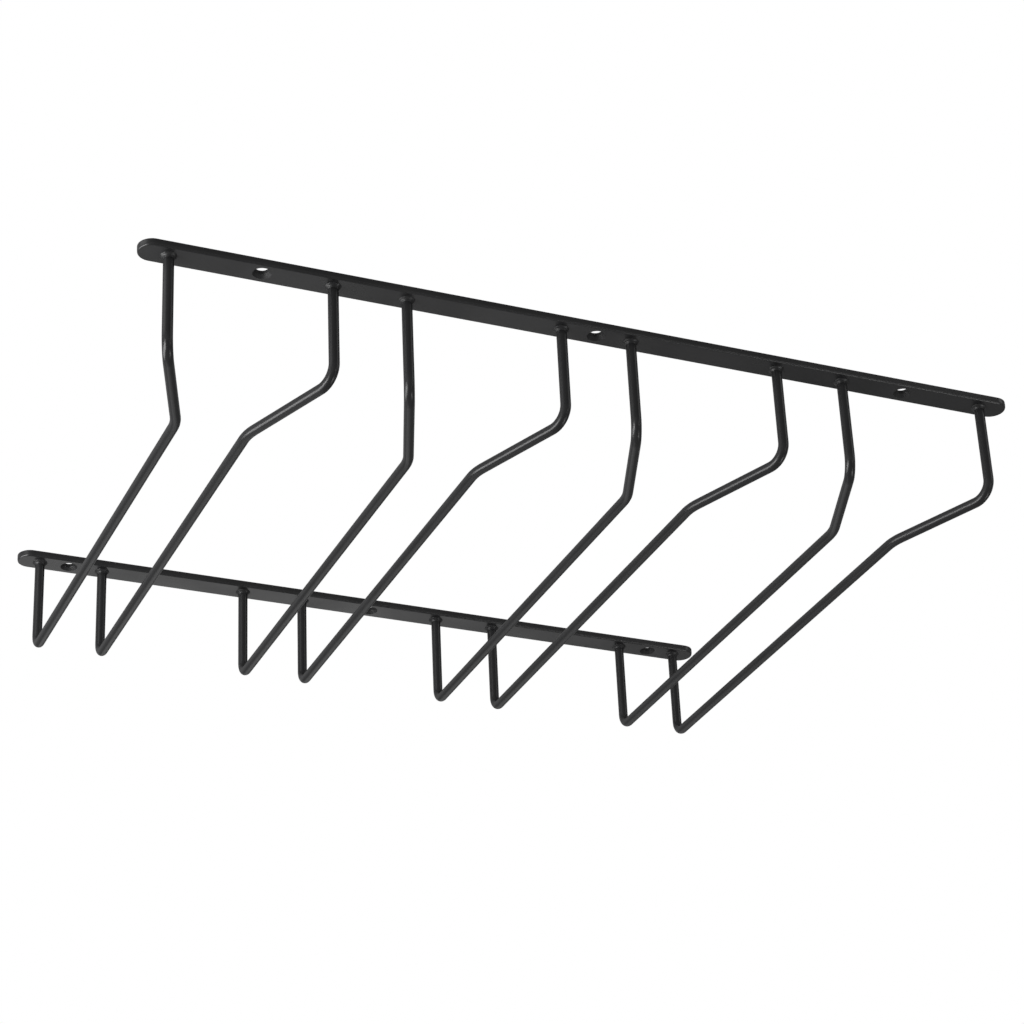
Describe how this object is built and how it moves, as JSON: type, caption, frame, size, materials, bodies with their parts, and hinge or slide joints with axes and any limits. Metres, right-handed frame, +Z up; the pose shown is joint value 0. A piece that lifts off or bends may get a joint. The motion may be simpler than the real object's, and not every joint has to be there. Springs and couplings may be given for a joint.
{
  "type": "hanging wine glass rack",
  "caption": "Under-shelf stemware rack: black steel rails carry welded wire channels with flared mouths that hold glasses by their feet.",
  "frame": {"origin": "middle of the rack in the plane of the rails' top faces, which is the underside of the shelf it is screwed to", "axes": "+X along the rails to the right, +Y from the open front with the flared mouths to the rear, +Z up into the shelf"},
  "size_m": [0.4606, 0.3314, 0.0575],
  "materials": {
    "rail_coat": "satin black powder coat",
    "wire_coat": "satin black powder coat",
    "weld_coat": "satin black powder coat over a weld"
  },
  "bodies": {
    "root": {"front_rail": "rail_coat", "rear_rail": "rail_coat", "channel_1_left_wire": "wire_coat", "channel_1_right_wire": "wire_coat", "channel_2_left_wire": "wire_coat", "channel_2_right_wire": "wire_coat", "channel_3_left_wire": "wire_coat", "channel_3_right_wire": "wire_coat", "channel_4_left_wire": "wire_coat", "channel_4_right_wire": "wire_coat", "channel_1_left_front_weld": "weld_coat", "channel_1_left_rear_weld": "weld_coat", "channel_1_right_front_weld": "weld_coat", "channel_1_right_rear_weld": "weld_coat", "channel_2_left_front_weld": "weld_coat", "channel_2_left_rear_weld": "weld_coat", "channel_2_right_front_weld": "weld_coat", "channel_2_right_rear_weld": "weld_coat", "channel_3_left_front_weld": "weld_coat", "channel_3_left_rear_weld": "weld_coat", "channel_3_right_front_weld": "weld_coat", "channel_3_right_rear_weld": "weld_coat", "channel_4_left_front_weld": "weld_coat", "channel_4_left_rear_weld": "weld_coat", "channel_4_right_front_weld": "weld_coat", "channel_4_right_rear_weld": "weld_coat"}
  },
  "joints": []
}
